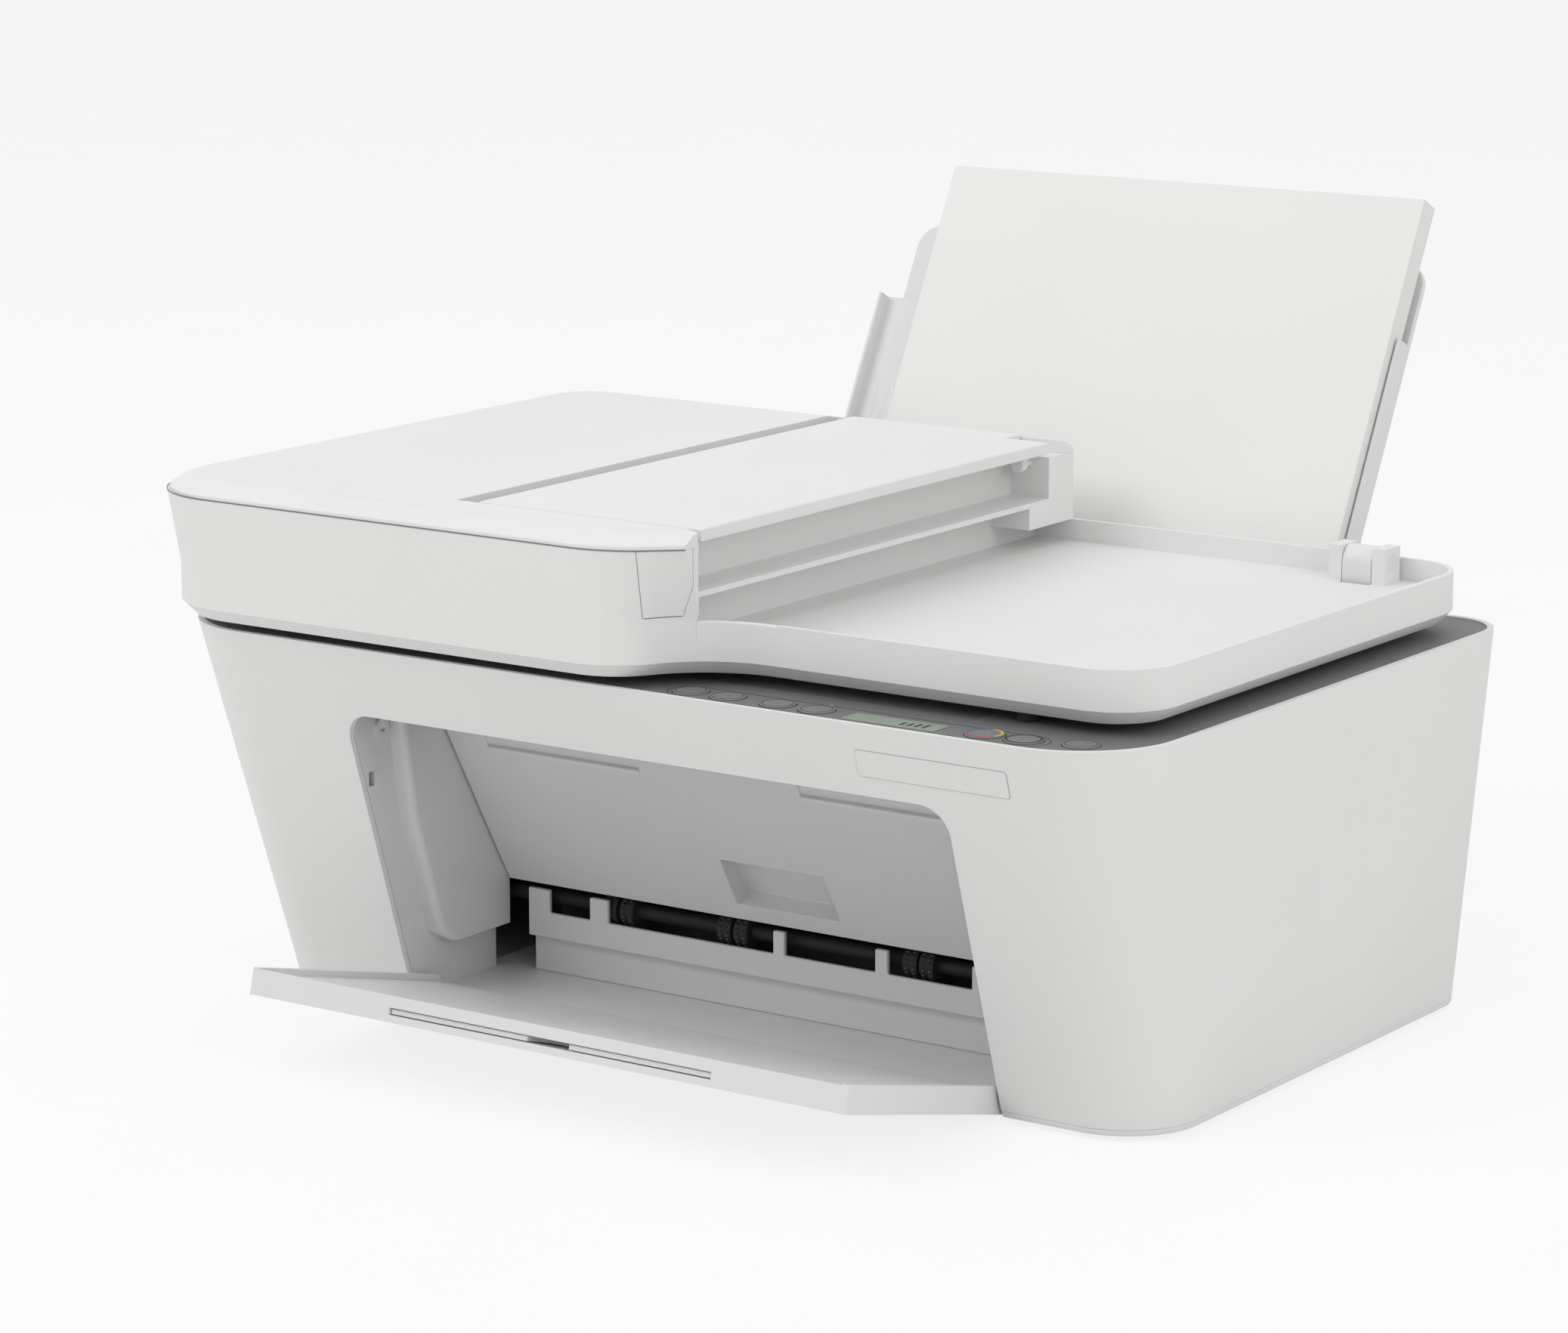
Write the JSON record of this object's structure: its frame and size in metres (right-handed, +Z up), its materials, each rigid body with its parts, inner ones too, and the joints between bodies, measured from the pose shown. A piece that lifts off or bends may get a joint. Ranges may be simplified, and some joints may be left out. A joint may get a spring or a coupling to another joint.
{
  "type": "inkjet printer",
  "caption": "Desktop inkjet printer with flatbed scanner, document feeder, leaning rear paper tray and a folding front output tray.",
  "frame": {"origin": "centre of the base on the plane of its feet", "axes": "+X to the right as seen from the front, +Y to the back, +Z up"},
  "size_m": [0.4274, 0.4088, 0.2941],
  "materials": {
    "white_plastic": "fine grain",
    "grey_plastic": "fine grain",
    "dark_plastic": "matte",
    "rubber": "matte",
    "glass": "clear",
    "display_panel": "gloss",
    "screw_steel": "bright",
    "steel": "brushed",
    "rod_steel": "polished",
    "board": "solder mask",
    "white_foam": "soft",
    "paper": "paper",
    "brass": "turned",
    "ink_black": "matte",
    "ink_blue": "matte",
    "gear_plastic": "satin",
    "button_plastic": "satin"
  },
  "bodies": {
    "base": {"base_shell": "white_plastic", "base_pan": "grey_plastic", "feet": "rubber", "scanner_tray": "grey_plastic", "top_deck": "dark_plastic", "scan_glass": "glass", "adf_glass": "glass", "display": "display_panel", "left_bay_liner": "grey_plastic", "right_bay_liner": "grey_plastic", "liner_screws": "screw_steel", "exit_ledge": "grey_plastic", "platen": "dark_plastic", "chassis": "steel", "guide_rod": "rod_steel", "drive_belt": "rubber", "carriage_motor": "steel", "feed_motor": "steel", "main_board": "board", "power_supply": "dark_plastic", "power_inlet": "dark_plastic", "usb_port": "dark_plastic", "paper_chute": "grey_plastic", "tray_runners": "grey_plastic", "lid_hinges": "grey_plastic"},
    "lid": {"lid_shell": "white_plastic", "lid_pad": "white_foam", "lid_bumpers": "rubber", "adf_frame": "grey_plastic", "adf_end_panel": "white_plastic"},
    "carriage": {"carriage": "dark_plastic", "black_cartridge": "ink_black", "colour_cartridge": "ink_blue"},
    "exit_shaft": {"exit_roller": "rubber", "exit_gear": "gear_plastic"},
    "feed_shaft": {"feed_roller": "rubber", "feed_gear": "gear_plastic"},
    "idler": {"idler_gear": "gear_plastic"},
    "pinion": {"motor_pinion": "brass"},
    "pulley": {"belt_pulley": "brass"},
    "pick_shaft": {"pick_roller": "rubber"},
    "adf_roller": {"adf_roller": "rubber"},
    "adf_cover": {"adf_cover": "white_plastic"},
    "feeder_flap": {"feeder_flap": "white_plastic"},
    "input_tray": {"input_tray": "grey_plastic"},
    "tray_extension": {"tray_extension": "grey_plastic"},
    "width_guide": {"width_guide": "grey_plastic"},
    "paper_stack": {"paper_stack": "paper"},
    "output_tray": {"output_tray": "grey_plastic"},
    "tray_extender": {"tray_extender": "grey_plastic"},
    "cartridge_door": {"cartridge_door": "grey_plastic"},
    "scan_bar": {"scan_bar": "dark_plastic"},
    "cancel_button": {"cancel_button": "button_plastic"},
    "resume_button": {"resume_button": "button_plastic"},
    "info_button": {"info_button": "button_plastic"},
    "wireless_button": {"wireless_button": "button_plastic"},
    "colour_copy_button": {"colour_copy_button": "button_plastic"},
    "black_copy_button": {"black_copy_button": "button_plastic"},
    "power_button": {"power_button": "button_plastic"}
  },
  "joints": [
    {"name": "lid_hinge", "type": "hinge", "parent": "base", "child": "lid", "pos_m": [0, 0.0975, 0.169], "axis": [-1, 0, 0], "range_deg": [0, 45]},
    {"name": "adf_cover_hinge", "type": "hinge", "parent": "lid", "child": "adf_cover", "pos_m": [-0.2155, 0, 0.1965], "axis": [0, -1, 0], "range_deg": [0, 70]},
    {"name": "feeder_flap_hinge", "type": "hinge", "parent": "lid", "child": "feeder_flap", "pos_m": [0.018, 0, 0.194], "axis": [0, 1, 0], "range_deg": [0, 160]},
    {"name": "adf_roller_spin", "type": "hinge", "parent": "lid", "child": "adf_roller", "pos_m": [-0.1, 0, 0.187], "axis": [0, 1, 0], "continuous": true},
    {"name": "input_tray_slide", "type": "slide", "parent": "base", "child": "input_tray", "axis": [0, 0.4571, 0.8894], "range_m": [-0.05, 0]},
    {"name": "tray_extension_slide", "type": "slide", "parent": "input_tray", "child": "tray_extension", "axis": [0, 0.4571, 0.8894], "range_m": [-0.08, 0]},
    {"name": "width_guide_slide", "type": "slide", "parent": "input_tray", "child": "width_guide", "axis": [1, 0, 0], "range_m": [-0.008, 0]},
    {"name": "paper_stack_slide", "type": "slide", "parent": "base", "child": "paper_stack", "axis": [0, 0.4571, 0.8894], "range_m": [0, 0.15]},
    {"name": "output_tray_hinge", "type": "hinge", "parent": "base", "child": "output_tray", "pos_m": [0, -0.109, 0.0085], "axis": [-1, 0, 0], "range_deg": [0, 58]},
    {"name": "tray_extender_slide", "type": "slide", "parent": "output_tray", "child": "tray_extender", "axis": [0, 0.9703, -0.2419], "range_m": [-0.06, 0]},
    {"name": "cartridge_door_hinge", "type": "hinge", "parent": "base", "child": "cartridge_door", "pos_m": [0, -0.109, 0.1155], "axis": [1, 0, 0], "range_deg": [-92, 0]},
    {"name": "carriage_slide", "type": "slide", "parent": "base", "child": "carriage", "axis": [1, 0, 0], "range_m": [-0.18, 0]},
    {"name": "pulley_spin", "type": "hinge", "parent": "base", "child": "pulley", "pos_m": [-0.122, 0.023, 0.095], "axis": [0, 1, 0], "continuous": true},
    {"name": "feed_spin", "type": "hinge", "parent": "base", "child": "feed_shaft", "pos_m": [0, 0.01, 0.03], "axis": [1, 0, 0], "continuous": true},
    {"name": "exit_spin", "type": "hinge", "parent": "base", "child": "exit_shaft", "pos_m": [0, -0.057, 0.0334], "axis": [1, 0, 0], "continuous": true},
    {"name": "idler_spin", "type": "hinge", "parent": "base", "child": "idler", "pos_m": [-0.146, -0.0265, 0.03185], "axis": [1, 0, 0], "continuous": true},
    {"name": "pinion_spin", "type": "hinge", "parent": "base", "child": "pinion", "pos_m": [-0.146, 0.022, 0.05078], "axis": [1, 0, 0], "continuous": true},
    {"name": "pick_spin", "type": "hinge", "parent": "base", "child": "pick_shaft", "pos_m": [0, 0.05921, 0.07437], "axis": [1, 0, 0], "continuous": true},
    {"name": "scan_bar_slide", "type": "slide", "parent": "base", "child": "scan_bar", "axis": [1, 0, 0], "range_m": [0, 0.31]},
    {"name": "cancel_button_press", "type": "slide", "parent": "base", "child": "cancel_button", "axis": [0, 0, -1], "range_m": [0, 0.0008]},
    {"name": "resume_button_press", "type": "slide", "parent": "base", "child": "resume_button", "axis": [0, 0, -1], "range_m": [0, 0.0008]},
    {"name": "info_button_press", "type": "slide", "parent": "base", "child": "info_button", "axis": [0, 0, -1], "range_m": [0, 0.0008]},
    {"name": "wireless_button_press", "type": "slide", "parent": "base", "child": "wireless_button", "axis": [0, 0, -1], "range_m": [0, 0.0008]},
    {"name": "colour_copy_button_press", "type": "slide", "parent": "base", "child": "colour_copy_button", "axis": [0, 0, -1], "range_m": [0, 0.0008]},
    {"name": "black_copy_button_press", "type": "slide", "parent": "base", "child": "black_copy_button", "axis": [0, 0, -1], "range_m": [0, 0.0008]},
    {"name": "power_button_press", "type": "slide", "parent": "base", "child": "power_button", "axis": [0, 0, -1], "range_m": [0, 0.0008]}
  ],
  "couplings": [
    {"joint": "exit_spin", "follows": "feed_spin", "ratio": 1.5},
    {"joint": "idler_spin", "follows": "feed_spin", "ratio": -0.97297},
    {"joint": "pinion_spin", "follows": "feed_spin", "ratio": -3},
    {"joint": "pulley_spin", "follows": "carriage_slide", "rad_per_m": -125}
  ]
}
